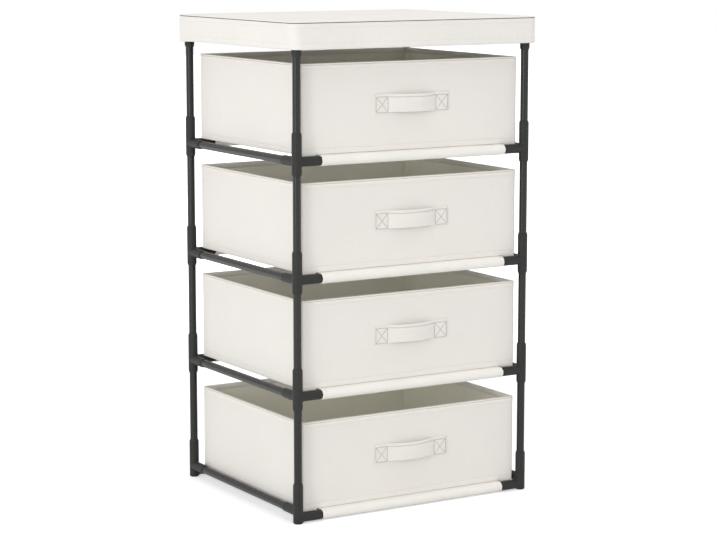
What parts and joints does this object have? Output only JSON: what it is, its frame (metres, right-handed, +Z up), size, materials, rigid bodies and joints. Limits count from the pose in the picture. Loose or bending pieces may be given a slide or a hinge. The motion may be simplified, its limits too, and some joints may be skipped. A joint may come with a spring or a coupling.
{
  "type": "fabric drawer dresser",
  "caption": "Upright storage rack of push-fit steel tubes with fabric slings, pull-out box-shaped fabric baskets with strap handles, and a fabric cover over a board on top.",
  "frame": {"origin": "on the floor under the middle of the cover", "axes": "+Z up, -Y the front where the baskets pull out, +X to the right of someone facing the front"},
  "size_m": [0.466, 0.398, 0.8],
  "materials": {
    "tube_steel": "charcoal powder coat, satin",
    "connector_plastic": "charcoal moulded plastic, satin",
    "sling_fabric": "off-white nonwoven, sewn sleeves",
    "cover_fabric": "off-white linen-look fabric",
    "basket_fabric": "off-white linen-look fabric",
    "lining_fabric": "off-white nonwoven lining",
    "binding_fabric": "off-white folded tape",
    "handle_fabric": "off-white folded strap",
    "base_board": "board covered in off-white fabric",
    "board": "brown pressed board"
  },
  "bodies": {
    "rack": {"foot_connector_front_left": "connector_plastic", "foot_connector_front_right": "connector_plastic", "foot_connector_back_left": "connector_plastic", "foot_connector_back_right": "connector_plastic", "middle_connector_2_front_left": "connector_plastic", "middle_connector_2_front_right": "connector_plastic", "middle_connector_2_back_left": "connector_plastic", "middle_connector_2_back_right": "connector_plastic", "middle_connector_3_front_left": "connector_plastic", "middle_connector_3_front_right": "connector_plastic", "middle_connector_3_back_left": "connector_plastic", "middle_connector_3_back_right": "connector_plastic", "middle_connector_4_front_left": "connector_plastic", "middle_connector_4_front_right": "connector_plastic", "middle_connector_4_back_left": "connector_plastic", "middle_connector_4_back_right": "connector_plastic", "top_connector_front_left": "connector_plastic", "top_connector_front_right": "connector_plastic", "top_connector_back_left": "connector_plastic", "top_connector_back_right": "connector_plastic", "post_tubes_front_left": "tube_steel", "post_tubes_front_right": "tube_steel", "post_tubes_back_left": "tube_steel", "post_tubes_back_right": "tube_steel", "side_rails_left": "tube_steel", "side_rails_right": "tube_steel", "cross_bars_front": "tube_steel", "cross_bars_back": "tube_steel", "sling_1": "sling_fabric", "sling_2": "sling_fabric", "sling_3": "sling_fabric", "sling_4": "sling_fabric", "top_board": "board"},
    "cover": {"top_cover": "cover_fabric"},
    "basket_1": {"basket_1_shell": "basket_fabric", "basket_1_wall_boards": "board", "basket_1_lining": "lining_fabric", "basket_1_base_board": "base_board", "basket_1_rim_binding": "binding_fabric", "basket_1_handle": "handle_fabric"},
    "basket_2": {"basket_2_shell": "basket_fabric", "basket_2_wall_boards": "board", "basket_2_lining": "lining_fabric", "basket_2_base_board": "base_board", "basket_2_rim_binding": "binding_fabric", "basket_2_handle": "handle_fabric"},
    "basket_3": {"basket_3_shell": "basket_fabric", "basket_3_wall_boards": "board", "basket_3_lining": "lining_fabric", "basket_3_base_board": "base_board", "basket_3_rim_binding": "binding_fabric", "basket_3_handle": "handle_fabric"},
    "basket_4": {"basket_4_shell": "basket_fabric", "basket_4_wall_boards": "board", "basket_4_lining": "lining_fabric", "basket_4_base_board": "base_board", "basket_4_rim_binding": "binding_fabric", "basket_4_handle": "handle_fabric"}
  },
  "joints": [
    {"name": "basket_1_slide", "type": "slide", "parent": "rack", "child": "basket_1", "axis": [0, -1, 0], "range_m": [0, 0.3]},
    {"name": "basket_2_slide", "type": "slide", "parent": "rack", "child": "basket_2", "axis": [0, -1, 0], "range_m": [0, 0.3]},
    {"name": "basket_3_slide", "type": "slide", "parent": "rack", "child": "basket_3", "axis": [0, -1, 0], "range_m": [0, 0.3]},
    {"name": "basket_4_slide", "type": "slide", "parent": "rack", "child": "basket_4", "axis": [0, -1, 0], "range_m": [0, 0.3]},
    {"name": "cover_lift", "type": "slide", "parent": "rack", "child": "cover", "axis": [0, 0, 1], "range_m": [0, 0.06]}
  ]
}
